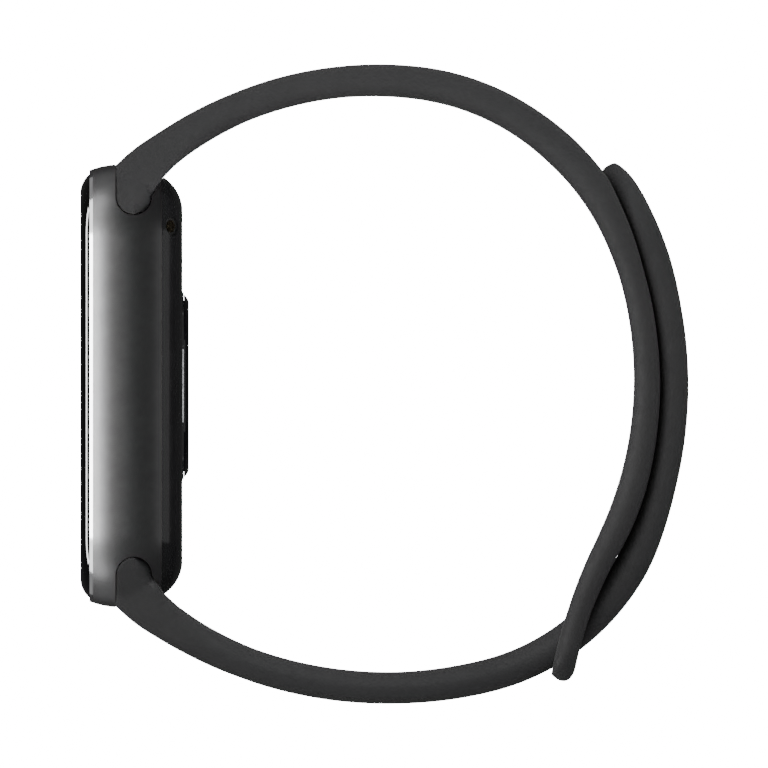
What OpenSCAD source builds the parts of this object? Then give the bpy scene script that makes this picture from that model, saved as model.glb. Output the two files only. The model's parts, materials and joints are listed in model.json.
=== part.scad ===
// Fitness tracker on a closed sports strap, lying on its side.
// The strap's loop lies in the XY plane and its width runs along Z.
// The tracker is at -X with its screen facing -X and its length along Y.

/* [Tracker body] */
// Length of the body, along Y
body_l = 42.75; // [42.65:0.05:42.8]
// Width of the body, along Z
body_w = 25.4; // [25.4:0.1:26]
// Radius of the body's corners, seen from the screen
corner_r = 6.9; // [6.9:0.1:7.1]
// Radius of the bulge round the frame's sides
bulge_r = 7.8; // [7.6:0.1:7.8]
// Radius of the rear cover's rounded edge
cover_edge_r = 4; // [3.9:0.1:4]
// Radius of the cover glass's rounded front edge
glass_edge_r = 2.5; // [2.4:0.1:2.6]

/* [Depths behind the front of the glass] */
// Back of the cover glass
glass_t = 1.05; // [1:0.05:1.05]
// Front of the frame
frame_t = 1.2; // [1.2:0.05:1.25]
// Floor of the display pocket
pocket_t = 3; // [3:0.05:3.05]
// Front of the rear cavity
cavity_t = 3.6; // [3.6:0.05:3.65]
// Front of the main board
board_t = 6.95; // [6.9:0.05:6.95]
// Line between the frame and the rear cover
cover_t = 7.85; // [7.8:0.05:7.85]
// Back of the rear cover
back_t = 9.85; // [9.85:0.05:9.9]
// Crown of the sensor window
crown_t = 10.47; // [10.4:0.01:10.5]

/* [Strap] */
// Half the strap's width where it leaves the body
root_half_w = 9.8; // [9.6:0.1:9.8]
// Half the width of the slim end that goes through the window
tail_half_w = 7.6; // [7.4:0.1:7.8]
// Half the width at the end with the window
window_end_half_w = 10.2; // [10:0.1:10.4]
// Clearance round the slim end in the window
window_gap = 0.3; // [0.25:0.05:0.35]
// Radius of the adjustment holes
hole_r = 1.95; // [1.9:0.05:2.1]
// Distance between the adjustment holes
hole_pitch = 7; // [6.5:0.1:7]
// Number of adjustment holes
hole_count = 8; // [6:1:8]

/* [Strap ends] */
// Radius of the rounded lug in the frame's channel
lug_r = 1.68; // [1.6:0.02:1.68]
// Gap between the lug and its channel
lug_gap = 0.08; // [0.08:0.01:0.12]
// Distance of each lug from the middle of the body
lug_l = 18.25; // [18.2:0.05:18.3]
// Depth of the lug behind the front of the glass
lug_t = 5.15; // [5.1:0.05:5.15]

/* [Hidden] */
$fn = 48;

// Place of the tracker: its front and its middle
front_x = -29.35;
body_y = -0.2;
mid_z = body_w / 2;

// Widest depth of the frame's bulge, and the centre of the other two rounded edges
bulge_t = 3.8;
cover_edge_t = back_t - cover_edge_r + 0.02;
glass_edge_t = glass_edge_r - 0.01;

// Outlines: length, width and corner radius
body_out = [body_l, body_w, corner_r];
cover_out = inset(body_out, 0.6);
glass_out = inset(body_out, 0.33);
glass_seat = inset(body_out, 0.75);
display_pocket = inset(body_out, 2.7) + [0, -0.5, 0];
cavity = [30.4, 21.2, 3];
seal_seat = [31.9, 22.2, 3.5];
seal_w = 0.57;
window_out = [16.5, 13.6, 4.7];
sensor_out = [15.4, 12.6, 3];
board = [28.6, 19.2, 1.2];
ledge_l = [12.2, 14];

// Bead round the sensor window: outline, width and depths; then the window's dome
ring_out = [18.1, 15.2, 5.5];
ring_w = 0.7;
ring_t = [back_t - 0.35, back_t + 0.12];
dome_out = inset(ring_out, 0.05);
dome_r = 1.1;

// Display ribbon: place on the length, edges on the width, and depth of its foot
flex_l = 8.4;
flex_w = [-8, -3];
flex_foot_t = 6.45;

// Front of the sensor board, and its back, which carries the lights and detectors
sensor_board_t = 8.35;
emitter_t = sensor_board_t + 0.4;
detector_l = 4.6;

// Battery: its two ends on the length, half its width, and its leads
battery_l = [-14.9, 6];
battery_half_w = 9.2;
lead_t = [5.2, 5.35];
lead_l = [6.75, 6.9];

// Coin motor: place on the length, place on the width, and radius; its front and back
motor = [11.1, 5.3, 3.9];
motor_t = [cavity_t + 0.02, 6.45];
motor_shaft_r = 0.4;

// Charging contact: place on the length, and the direction of its bore in degrees from the back
contact_l = 15.4;
contact_tilt = 39;
contact_lead_w = 10.1;
lead_in_l = 12.6;

// Where a channel's inner wall reaches the rear cover, and where a strap takes its own width
flare_l = 20;
exit_l = 19.8;

// Latch of each lug: place on the length and depth of its rounded nose
latch_l = lug_l - 0.22;
latch_t = 7.05;
latch_r = 0.45;

// Routes of the two straps: start, heading, then arcs of [radius, turn]
UPPER = [[-25.15, 17.4], 90, [[4, -47.5], [34, -49.5], [24, -59.5], [36, -51], [42, 18]]];
LOWER = [[-24.8, -18.1], -90,
  [[4, 51], [36, 25], [40, 28], [22, 54.5], [42, 13.5], [40, 39.6]]];

// Half thickness and half width against the distance along each route
upper_half_t = [[5, 1.85], [8, 1.66], [15, 1.48], [25, 1.48], [34, 1.56], [48, 1.61], [62, 1.22],
  [88, 1.26], [96, 1.05], [101.5, 1.05], [102.4, 0.75], [102.85, 0.35]];
upper_half_w = [[5, root_half_w], [20, 9.3], [65, 9.3], [90, window_end_half_w],
  [100, window_end_half_w], [102.85, window_end_half_w - 1.1]];
lower_half_t = [[5, 1.85], [10, 1.63], [15, 1.51], [30, 1.49], [36, 1.55], [45, 1.58], [57, 1.58],
  [65, 1.34], [92, 1.25], [95, 1.1], [96.6, 0.8], [97.3, 0.35]];
lower_half_w = [[5, root_half_w], [20, 9], [42, tail_half_w], [90, tail_half_w],
  [93, tail_half_w - 0.9], [95.4, tail_half_w - 2.6], [97.3, tail_half_w - 5]];

// Distances along the routes where one strap piece ends and the next begins
end_d = 6.5;
flex_d = 14;
tail_d = 74;
upper_end_d = 102.85;
lower_end_d = 97.3;
piece_gap = 0.02;

// The stud's place along the lower route, and the hole that it fills on the upper route
stud_d = 91;
stud_hole_d = 57.8;
first_hole_d = stud_hole_d - 3 * hole_pitch;
stud_r = 1.45;
cap_r = 2.6;
flange_r = 2.2;
shank_r = 1;

// ---------- helpers: outlines and rounded bodies ----------

// An outline made smaller by a distance on every side
function inset(out, by) = [out.x - 2 * by, out.y - 2 * by, out.z - by];

// Drawing in the tracker's own axes: length, width, depth behind the front
module in_tracker() {
  translate([front_x, body_y, mid_z]) rotate([90, 0, 90]) children();
}

// A flat rounded plate between two depths
module plate(out, t0, t1) {
  translate([0, 0, t0]) linear_extrude(t1 - t0) {
    square([out.x - 2 * out.z, out.y], center = true);
    square([out.x, out.y - 2 * out.z], center = true);
    for (x = [-1, 1], y = [-1, 1])
      translate([x * (out.x / 2 - out.z), y * (out.y / 2 - out.z)]) circle(out.z);
  }
}

// Half section of a rounded edge: the circle's centre is at depth edge_t
module edge_section(r, t0, t1, edge_r, edge_t) {
  intersection() {
    translate([0, t0]) square([r, t1 - t0]);
    union() {
      translate([r - edge_r, edge_t]) circle(edge_r, $fn = 240);
      translate([0, t0]) square([r - edge_r, t1 - t0]);
    }
  }
}

// A half section drawn all the way round an outline: four turned corners and
// four straight sides. x in the section is measured from the corners' centres.
module around(out) {
  core = [out.x - 2 * out.z, out.y - 2 * out.z];
  for (x = [0, 1], y = [0, 1]) mirror([x, 0, 0]) mirror([0, y, 0])
    translate([core.x / 2, core.y / 2, 0]) rotate_extrude(angle = 90) children();
  for (x = [0, 1]) mirror([x, 0, 0]) translate([core.x / 2, core.y / 2, 0])
    rotate([90, 0, 0]) linear_extrude(core.y) children();
  for (y = [0, 1]) mirror([0, y, 0]) translate([-core.x / 2, core.y / 2, 0])
    rotate([90, 0, 90]) linear_extrude(core.x) children();
}

// A rounded plate whose whole edge follows a circle
module pebble(out, t0, t1, edge_r, edge_t) {
  core = [out.x - 2 * out.z, out.y - 2 * out.z];
  around(out) edge_section(out.z, t0, t1, edge_r, edge_t);
  translate([-core.x / 2, -core.y / 2, t0]) cube([core.x, core.y, t1 - t0]);
}

// The frame's outer shape between two depths
module body_shape(t0, t1) {
  pebble(body_out, t0, t1, bulge_r, bulge_t);
}

// A box given by its low and high corners
module block(low, high) {
  translate(low) cube(high - low);
}

// ---------- helpers: strap routes ----------

// One step of a distance d along an arc from a place [x, y, heading]
function step(from, arc, d) =
  let (turn = sign(arc[1]) * d / arc[0] * 180 / PI,
       middle = from.z + turn / 2,
       chord = 2 * arc[0] * sin(abs(turn) / 2))
  [from.x + chord * cos(middle), from.y + chord * sin(middle), from.z + turn];

// The place [x, y, heading] at a distance d along a chain of arcs
function walk(from, arcs, d, i = 0) =
  let (arc = arcs[i], arc_l = arc[0] * abs(arc[1]) * PI / 180)
  d <= arc_l || i == len(arcs) - 1
    ? step(from, arc, d)
    : walk(step(from, arc, arc_l), arcs, d - arc_l, i + 1);

function place(route, d) =
  walk([route[0].x, route[0].y, route[1]], route[2], d);

// A point beside a route, off to the left of its heading
function beside(route, d, off) =
  let (p = place(route, d)) [p.x - off * sin(p.z), p.y + off * cos(p.z)];

// One ring of a strap: a flat bar with round edges
function strap_ring(route, half_ts, half_ws, d) =
  let (half_t = lookup(d, half_ts), flat_w = lookup(d, half_ws) - half_t)
  [for (side = [1, -1], a = [-90:45:90])
    let (p = beside(route, d, side * half_t * sin(a)))
    [p.x, p.y, mid_z + side * (flat_w + half_t * cos(a))]];

// A closed solid through a list of rings with equal numbers of points
module loft(rings) {
  n = len(rings[0]);
  last = len(rings) - 1;
  points = [for (ring = rings) for (p = ring) p];
  sides = [for (i = [0:last - 1], j = [0:n - 1])
    [i * n + j, i * n + (j + 1) % n, (i + 1) * n + (j + 1) % n, (i + 1) * n + j]];
  first_cap = [for (j = [n - 1:-1:0]) j];
  last_cap = [for (j = [0:n - 1]) last * n + j];
  polyhedron(points, concat(sides, [first_cap, last_cap]));
}

// A strap piece between two distances, with its rings at most gap apart
module strap_piece(route, half_ts, half_ws, d0, d1, gap = 2, extra = []) {
  steps = ceil((d1 - d0) / gap);
  loft([for (d = concat([for (i = [0:steps]) d0 + (d1 - d0) * i / steps], extra))
    strap_ring(route, half_ts, half_ws, d)]);
}

// Drawing at a place on a route: x along it, y to its left, z across it
module on_route(route, d) {
  p = place(route, d);
  translate([p.x, p.y, mid_z]) rotate([0, 0, p.z]) children();
}

// A cylinder across the strap's thickness, from y0 to y1
module through(r, y0, y1) {
  translate([0, y0, 0]) rotate([-90, 0, 0]) cylinder(r = r, h = y1 - y0);
}

// ---------- front: glass, display and trim ----------

module cover_glass() { color([0.02, 0.02, 0.025]) in_tracker()
  pebble(glass_out, 0, glass_t, glass_edge_r, glass_edge_t);
}

module glass_adhesive() { color([0.1, 0.1, 0.1]) in_tracker() difference() {
  plate(inset(glass_seat, 0.1), glass_t, frame_t);
  plate(display_pocket, glass_t - 1, frame_t + 1);
}}

module touch_sensor() { color([0.25, 0.3, 0.3]) in_tracker()
  plate(inset(display_pocket, 0.1), glass_t, frame_t);
}

module display_panel() { color([0.1, 0.12, 0.16]) in_tracker()
  plate(inset(display_pocket, 0.2), frame_t + 0.02, 2.05);
}

module display_backlight() { color([0.85, 0.85, 0.8]) in_tracker()
  plate(inset(display_pocket, 0.3), 2.07, pocket_t - 0.1);
}

// Ribbon from the display through the frame's web to its connector
module display_flex() { color([0.75, 0.45, 0.1]) in_tracker() {
  block([flex_l, flex_w[0], pocket_t - 0.1], [flex_l + 0.15, flex_w[1], flex_foot_t + 0.15]);
  block([flex_l, flex_w[0], flex_foot_t], [flex_l + 1, flex_w[1], flex_foot_t + 0.15]);
}}

module display_connector() { color([0.9, 0.88, 0.8]) in_tracker()
  block([flex_l + 1, flex_w[0], board_t - 0.8], [flex_l + 3, flex_w[1], board_t]);
}

module bezel_ring() { color([0.85, 0.86, 0.88]) in_tracker()
  around(body_out, $fn = 240) difference() {
    edge_section(corner_r, 0.88, frame_t, bulge_r, bulge_t);
    square([glass_seat.z, frame_t + 1]);
  }
}

// ---------- frame and rear cover ----------

// Channel for a strap's lug, with the flared lip that the strap turns over
module lug_channel() {
  r = lug_r + lug_gap;
  rotate([90, 0, 0]) translate([0, 0, -body_w]) linear_extrude(2 * body_w) union() {
    translate([lug_l, lug_t]) circle(r);
    polygon([[lug_l, lug_t - r], [body_l, lug_t - r], [body_l, cover_t + 1],
      [flare_l + 0.54, cover_t + 0.3], [flare_l, cover_t], [lug_l, lug_t + r]]);
  }
}

// Bevel of the rear cover under the strap, next to the frame's channel
module cover_flare() {
  rotate([90, 0, 0]) translate([0, 0, -body_w]) linear_extrude(2 * body_w)
    polygon([[flare_l - 0.07, 0], [flare_l - 0.07, cover_t], [flare_l + 0.3, cover_t + 0.45],
      [body_l, cover_t + 0.45], [body_l, 0]]);
}

// Pocket and nose window of a lug's latch
module latch_pocket() {
  block([latch_l - 1.9, -4.2, 7.2], [latch_l + 0.55, 4.2, cover_t + 1]);
  translate([latch_l, 0, latch_t]) rotate([90, 0, 0])
    cylinder(r = latch_r + 0.05, h = 8, center = true);
}

module mid_frame() { color([0.33, 0.33, 0.34]) in_tracker() {
  difference() {
    body_shape(frame_t, cover_t);
    plate(display_pocket, 0, pocket_t);
    plate(cavity, cavity_t, cover_t + 1);
    plate(seal_seat, cover_t - 0.25, cover_t + 1);
    block([flex_l - 0.4, flex_w[0] - 0.4, 2], [flex_l + 0.6, flex_w[1] + 0.4, 4]);
    for (m = [0, 1]) mirror([m, 0, 0]) {
      lug_channel();
      latch_pocket();
    }
  }
  // Corner ledges that carry the main board
  for (x = [0, 1], y = [0, 1]) mirror([x, 0, 0]) mirror([0, y, 0])
    block([ledge_l[0], 9.3, cavity_t - 0.2], [ledge_l[1], 10.7, board_t]);
}}

module rear_cover() { color([0.03, 0.03, 0.03]) in_tracker() difference() {
  pebble(cover_out, cover_t, back_t, cover_edge_r, cover_edge_t);
  pebble([32, cover_out.y - 1.6, 4], cover_t - 0.5, back_t - 0.8,
    cover_edge_r - 0.8, cover_edge_t);
  plate(inset(ring_out, ring_w), cover_t, back_t + 1);
  plate(inset(ring_out, -0.05), ring_t[0] - 0.02, back_t + 1);
  for (m = [0, 1]) mirror([m, 0, 0]) cover_flare();
  both_contacts() {
    contact_bore(0.97, -0.35, 2);
    contact_bore(0.85, -0.85, 0);
    contact_bore(0.35, -1.6, 0);
  }
  for (m = [0, 1]) mirror([0, m, 0])
    block([lead_in_l - 0.2, 9.1, cover_t - 1], [contact_l + 0.4, contact_lead_w + 0.15, cover_t + 0.35]);
}}

module rear_seal() { color([0.55, 0.1, 0.1]) in_tracker() difference() {
  plate(inset(seal_seat, 0.05), cover_t - 0.25, cover_t);
  plate(inset(seal_seat, seal_w + 0.05), cover_t - 1, cover_t + 1);
}}

// ---------- sensor stack ----------

module sensor_ring() { color([0.12, 0.12, 0.13]) in_tracker() difference() {
  plate(ring_out, ring_t[0], ring_t[1]);
  plate(inset(ring_out, ring_w), 0, back_t + 1);
}}

// The window's dome sits over the ring, on a plain foot inside it
module sensor_window() { color([0.05, 0.05, 0.06]) in_tracker() {
  plate(window_out, back_t - 0.55, ring_t[1] + 0.05);
  pebble(dome_out, ring_t[1] + 0.02, crown_t, dome_r, crown_t - dome_r + 0.01);
}}

module sensor_board() { color([0.05, 0.3, 0.15]) in_tracker()
  plate(sensor_out, sensor_board_t, emitter_t);
}

module sensor_connector() { color([0.9, 0.88, 0.8]) in_tracker()
  block([4, -3, board_t + 0.6], [6.4, 1.5, sensor_board_t]);
}

module sensor_leds() { color([0.9, 0.9, 0.6]) in_tracker()
  for (w = [-2, 0, 2]) block([-0.8, w - 0.7, emitter_t], [0.8, w + 0.7, emitter_t + 0.4]);
}

module photodiodes() { color([0.15, 0.2, 0.35]) in_tracker()
  for (x = [-1, 1]) translate([detector_l * x, 0, 0])
    block([-1.3, -1.5, emitter_t], [1.3, 1.5, emitter_t + 0.4]);
}

module light_barrier() { color([0.08, 0.08, 0.08]) in_tracker() difference() {
  plate(inset(sensor_out, 0.4), emitter_t, back_t - 0.57);
  block([-1.4, -3.2, 0], [1.4, 3.2, back_t]);
  for (x = [-1, 1]) translate([detector_l * x, 0, 0]) block([-1.6, -1.8, 0], [1.6, 1.8, back_t]);
}}

// ---------- main board, battery and motor ----------

module main_board() { color([0.04, 0.25, 0.14]) in_tracker() plate(board, board_t, board_t + 0.6); }

module shield_can() { color([0.75, 0.76, 0.78]) in_tracker() difference() {
  block([-13.4, -7.5, board_t + 0.6], [-3, 7.5, board_t + 1.3]);
  block([-13.2, -7.3, board_t + 0.4], [-3.2, 7.3, board_t + 1.15]);
}}

// Chips under the shield and around it, then a row of small parts
module board_chips() { color([0.1, 0.1, 0.11]) in_tracker() translate([0, 0, board_t + 0.6]) {
  block([-12, -5, 0], [-6.5, 0.5, 0.45]);
  block([-11.5, 2, 0], [-8, 5.5, 0.4]);
  block([-1.5, -6.5, 0], [2, -2, 0.6]);
  block([-1.5, 2.5, 0], [1.5, 5.5, 0.55]);
  block([4.2, 3.2, 0], [6.8, 5.8, 0.6]);
  for (w = [-6:1.5:6]) translate([8.2, w, 0]) cube([1, 0.5, 0.4]);
}}

module battery_cell() { color([0.7, 0.72, 0.75]) in_tracker()
  translate([(battery_l[0] + battery_l[1]) / 2, 0, 0])
    plate([battery_l[1] - battery_l[0], 2 * battery_half_w, 1], cavity_t + 0.12, board_t - 0.15);
}

module battery_pad() { color([0.2, 0.2, 0.45]) in_tracker()
  translate([(battery_l[0] + battery_l[1]) / 2, 0, 0])
    plate([18, 15, 0.8], cavity_t, cavity_t + 0.12);
}

// Two strips from the end of the battery down to the main board
module battery_leads() { color([0.8, 0.75, 0.6]) in_tracker()
  for (w = [-2.2, -0.8]) {
    block([battery_l[1], w, lead_t[0]], [lead_l[1], w + 0.9, lead_t[1]]);
    block([lead_l[0], w, lead_t[0]], [lead_l[1], w + 0.9, board_t]);
  }
}

module at_motor() { in_tracker() translate([motor.x, motor.y, 0]) children(); }

module motor_case() { color([0.78, 0.79, 0.8]) at_motor() difference() {
  translate([0, 0, motor_t[0]]) cylinder(r = motor.z, h = motor_t[1] - motor_t[0]);
  translate([0, 0, motor_t[0] + 0.25])
    cylinder(r = motor.z - 0.3, h = motor_t[1] - motor_t[0] - 0.5);
}}

module motor_magnet() { color([0.35, 0.35, 0.38]) at_motor()
  translate([0, 0, motor_t[0] + 0.25]) difference() {
    cylinder(r = 3, h = 0.4);
    translate([0, 0, -1]) cylinder(r = 1.4, h = 3);
  }
}

module motor_shaft() { color([0.85, 0.86, 0.88]) at_motor()
  translate([0, 0, motor_t[0] + 0.25])
    cylinder(r = motor_shaft_r, h = motor_t[1] - motor_t[0] - 0.5);
}

// Off-centre weight on a hub; the weight hangs towards -Z
module motor_rotor() { color([0.7, 0.6, 0.35]) at_motor() translate([0, 0, motor_t[0] + 0.85])
  difference() {
    union() {
      cylinder(r = 1, h = 1.2);
      intersection() {
        cylinder(r = 3.3, h = 1.2);
        block([-4, -4, 0], [4, 0, 1.2]);
      }
    }
    translate([0, 0, -1]) cylinder(r = motor_shaft_r + 0.05, h = 4);
  }
}

module antenna() { color([0.8, 0.55, 0.2]) in_tracker() {
  block([-11.5, -10.55, 4], [11.5, -10.4, 6.6]);
  block([10.5, -10.55, 4], [11.5, -9.45, 4.15]);
}}

// ---------- charging contacts ----------

// Drawing on the rear cover's rounded edge, near both long sides: z out of the surface
module both_contacts() {
  for (m = [0, 1]) mirror([0, m, 0])
    translate([contact_l, cover_out.y / 2 - cover_edge_r, cover_edge_t])
      rotate([-contact_tilt, 0, 0]) translate([0, 0, cover_edge_r]) children();
}

module contact_bore(r, z0, z1) {
  translate([0, 0, z0]) cylinder(r = r, h = z1 - z0);
}

module charging_contacts() { color([0.85, 0.7, 0.35]) in_tracker() both_contacts() {
  contact_bore(0.6, -0.8, -0.3);
  contact_bore(0.28, -1.0, -0.7);
}}

module contact_seals() { color([0.06, 0.06, 0.06]) in_tracker() both_contacts() difference() {
  contact_bore(0.84, -0.84, -0.4);
  contact_bore(0.6, -2, 1);
}}

// Strips inside the cover from the contacts to the main board
module contact_leads() { color([0.8, 0.75, 0.6]) in_tracker()
  for (m = [0, 1]) mirror([0, m, 0]) {
    block([lead_in_l, 9.2, cover_t + 0.02], [contact_l + 0.2, contact_lead_w, cover_t + 0.12]);
    block([lead_in_l, 9.2, board_t + 0.6], [lead_in_l + 0.2, 9.5, cover_t + 0.12]);
  }
}

module alignment_magnets() { color([0.6, 0.6, 0.63]) in_tracker()
  for (w = [-4.5, 4.5]) translate([11.6, w, board_t + 0.6]) cylinder(r = 1.5, h = 1.35);
}

// ---------- strap ends ----------

// Leaf spring with a rounded nose that holds a lug in its channel
module latch() {
  block([latch_l - 1.8, -4, 7.3], [latch_l + 0.5, 4, 7.5]);
  translate([latch_l, 0, latch_t]) rotate([90, 0, 0])
    cylinder(r = latch_r, h = 7.8, center = true);
}

module upper_latch() { color([0.8, 0.8, 0.82]) in_tracker() latch(); }

module lower_latch() { color([0.8, 0.8, 0.82]) in_tracker() mirror([1, 0, 0]) latch(); }

// Stiff insert: a bar along the lug and a tongue up into the strap
module lug_core() {
  translate([lug_l, 0, lug_t]) rotate([90, 0, 0]) cylinder(r = 0.9, h = 17, center = true);
  block([lug_l, -7, lug_t - 0.4], [lug_l + 2.6, 7, lug_t + 0.4]);
}

module upper_lug_core() { color([0.3, 0.3, 0.32]) in_tracker() lug_core(); }

module lower_lug_core() { color([0.3, 0.3, 0.32]) in_tracker() mirror([1, 0, 0]) lug_core(); }

// Side outline of a strap end: the lug, then the root as far as the flexible part.
// side is 1 for the upper strap and -1 for the lower one.
module strap_end_outline(route, half_ts, side, inner_d) {
  x = front_x + lug_t;
  y = body_y + side * lug_l;
  shoulder_y = body_y + side * (body_l / 2 + 0.05);
  outer = [for (d = [3.6, 5, end_d]) beside(route, d, side * lookup(d, half_ts))];
  inner = [for (d = [end_d, inner_d]) beside(route, d, -side * lookup(d, half_ts))];
  translate([x, y]) circle(lug_r);
  polygon(concat([[x - lug_r, y], [x - lug_r, shoulder_y]], outer, inner,
    [[x + lug_r, y]]));
}

// The lug is flush with the frame's sides; the root outside it has the strap's width
module strap_end(route, half_ts, side, inner_d) {
  exit_y = body_y + side * exit_l;
  difference() {
    union() {
      intersection() {
        linear_extrude(body_w) strap_end_outline(route, half_ts, side, inner_d);
        in_tracker() body_shape(frame_t, cover_t + 0.5);
        translate([front_x, side > 0 ? 0 : exit_y, 0]) cube([15, abs(exit_y), body_w]);
      }
      intersection() {
        translate([0, 0, mid_z - root_half_w]) linear_extrude(2 * root_half_w)
          strap_end_outline(route, half_ts, side, inner_d);
        translate([front_x, side > 0 ? exit_y - 0.01 : exit_y - 9.99, 0])
          cube([15, 10, body_w]);
      }
    }
    in_tracker() mirror([side > 0 ? 0 : 1, 0, 0]) {
      lug_core();
      translate([latch_l, 0, latch_t]) rotate([90, 0, 0])
        cylinder(r = latch_r + 0.05, h = 8.2, center = true);
    }
  }
}

module upper_strap_end() { color([0.15, 0.15, 0.16])
  strap_end(UPPER, upper_half_t, 1, 4.5);
}

module lower_strap_end() { color([0.15, 0.15, 0.16])
  strap_end(LOWER, lower_half_t, -1, 4.2);
}

// ---------- straps ----------

module upper_strap_flex() { color([0.17, 0.17, 0.18])
  strap_piece(UPPER, upper_half_t, upper_half_w, end_d + piece_gap, flex_d - piece_gap);
}

module lower_strap_flex() { color([0.17, 0.17, 0.18])
  strap_piece(LOWER, lower_half_t, lower_half_w, end_d + piece_gap, flex_d - piece_gap);
}

// The space that the slim end needs where it passes through the window
module window_space() {
  half_w = tail_half_w + window_gap;
  ds = [45:1:56];
  left = [for (d = ds) beside(LOWER, d, lookup(d, lower_half_t) + window_gap)];
  right = [for (d = [56:-1:45]) beside(LOWER, d, -lookup(d, lower_half_t) - window_gap)];
  translate([0, 0, mid_z - half_w]) linear_extrude(2 * half_w) polygon(concat(right, left));
}

module upper_strap() { color([0.14, 0.14, 0.15]) difference() {
  strap_piece(UPPER, upper_half_t, upper_half_w, flex_d, 101.5,
    extra = [102, 102.4, upper_end_d]);
  window_space();
  for (i = [0:hole_count - 1])
    on_route(UPPER, first_hole_d + i * hole_pitch) through(hole_r, -3, 3);
}}

module lower_strap() { color([0.14, 0.14, 0.15])
  strap_piece(LOWER, lower_half_t, lower_half_w, flex_d, tail_d - piece_gap);
}

module strap_tail() { color([0.14, 0.14, 0.15]) difference() {
  strap_piece(LOWER, lower_half_t, lower_half_w, tail_d, 92, 1.6,
    extra = [93, 94, 95, 95.8, 96.6, lower_end_d]);
  on_route(LOWER, stud_d) {
    through(shank_r, -3, 3);
    through(cap_r + 0.04, -3, -0.75);
    through(flange_r + 0.04, 0.85, 3);
  }
}}

// Metal stud: a shank through the tail, a flange and a tapered post into a hole
module clasp_stud() { color([0.75, 0.76, 0.78]) on_route(LOWER, stud_d) {
  through(shank_r, -0.75, 1);
  through(flange_r, 0.85, 1.25);
  through(stud_r, 1.2, 3);
  translate([0, 3, 0]) rotate([-90, 0, 0]) cylinder(r1 = stud_r, r2 = 1.05, h = 0.95);
}}

module clasp_cap() { color([0.75, 0.76, 0.78]) on_route(LOWER, stud_d)
  through(cap_r, -1.22, -0.75);
}

cover_glass();
glass_adhesive();
touch_sensor();
display_panel();
display_backlight();
display_flex();
display_connector();
bezel_ring();
mid_frame();
rear_cover();
rear_seal();
sensor_ring();
sensor_window();
sensor_board();
sensor_connector();
sensor_leds();
photodiodes();
light_barrier();
main_board();
board_chips();
shield_can();
battery_cell();
battery_pad();
battery_leads();
motor_case();
motor_magnet();
motor_shaft();
motor_rotor();
antenna();
charging_contacts();
contact_seals();
contact_leads();
alignment_magnets();
upper_latch();
lower_latch();
upper_lug_core();
lower_lug_core();
upper_strap_end();
upper_strap_flex();
upper_strap();
lower_strap_end();
lower_strap_flex();
lower_strap();
strap_tail();
clasp_stud();
clasp_cap();
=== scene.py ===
"""Looks for a fitness tracker on a closed rubber strap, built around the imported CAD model.

Shapes are worked out in millimetres in the model's own frame and turned into metres when a
mesh is made. The loop lies in the XY plane, the tracker is at -X with its screen facing -X,
and the strap's width runs along Z. In the tracker's own axes a point is (l, w, t): along the
length, across the width, and the depth behind the front of the glass.
"""
import functools
import json
import math

import bmesh
import bpy
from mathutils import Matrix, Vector


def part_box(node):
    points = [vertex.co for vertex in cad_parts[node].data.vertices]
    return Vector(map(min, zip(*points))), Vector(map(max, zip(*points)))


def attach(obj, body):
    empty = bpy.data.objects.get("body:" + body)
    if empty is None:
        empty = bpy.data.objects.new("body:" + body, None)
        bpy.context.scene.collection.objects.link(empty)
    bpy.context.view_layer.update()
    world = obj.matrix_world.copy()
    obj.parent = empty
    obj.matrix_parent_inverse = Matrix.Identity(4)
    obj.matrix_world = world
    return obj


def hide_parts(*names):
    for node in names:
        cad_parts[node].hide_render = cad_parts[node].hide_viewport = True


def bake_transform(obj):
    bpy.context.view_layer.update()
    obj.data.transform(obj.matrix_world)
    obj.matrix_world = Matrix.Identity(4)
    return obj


MM = 0.001
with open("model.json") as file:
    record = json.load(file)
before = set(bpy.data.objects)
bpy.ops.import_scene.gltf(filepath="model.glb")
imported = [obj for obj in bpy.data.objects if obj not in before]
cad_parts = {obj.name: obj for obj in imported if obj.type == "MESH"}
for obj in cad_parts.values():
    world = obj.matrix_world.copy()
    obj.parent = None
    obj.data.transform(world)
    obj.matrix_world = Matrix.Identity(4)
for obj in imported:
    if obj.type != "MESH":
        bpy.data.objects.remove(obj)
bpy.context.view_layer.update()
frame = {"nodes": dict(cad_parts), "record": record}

# ---------- places taken from the frame, in millimetres ----------


def box_mm(node):
    low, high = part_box(node)
    return low / MM, high / MM


GLASS_LOW, GLASS_HIGH = box_mm("cover_glass")
FRAME_LOW, FRAME_HIGH = box_mm("mid_frame")
FRONT_X = GLASS_LOW.x
BODY_Y = (FRAME_LOW.y + FRAME_HIGH.y) / 2
MID_Z = (FRAME_LOW.z + FRAME_HIGH.z) / 2
BODY_L = FRAME_HIGH.y - FRAME_LOW.y
BODY_W = FRAME_HIGH.z - FRAME_LOW.z
# Radius of the frame's corners, radius of the arc that its sides follow over the depth, and
# the depth where it is widest
CORNER_R = 6.9
BULGE_R = 7.8
BULGE_T = 3.8

# Round bottoms of the two strap ends in the frame's channels: radius, and the centre's place
# on the length and on the depth
LUG_R = 1.68
LUG_L = 18.25
LUG_T = 5.15

# Routes of the two straps: start, heading in degrees, then arcs of (radius, turn). The outer
# face is on the left of the upper strap's heading and on the right of the lower strap's.
UPPER = ((-25.15, 17.4), 90, ((4, -47.5), (34, -49.5), (24, -59.5), (36, -51), (42, 18)))
LOWER = ((-24.8, -18.1), -90, ((4, 51), (36, 25), (40, 28), (22, 54.5), (42, 13.5), (40, 39.6)))
# Distances along the routes: where the shaped end in the frame becomes the plain strap, where
# the lower strap becomes the tail, and the two tips
END_D = 6.5
SEAM_D = 50
UPPER_TIP_D = 102.88
LOWER_TIP_D = 97.48
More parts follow.
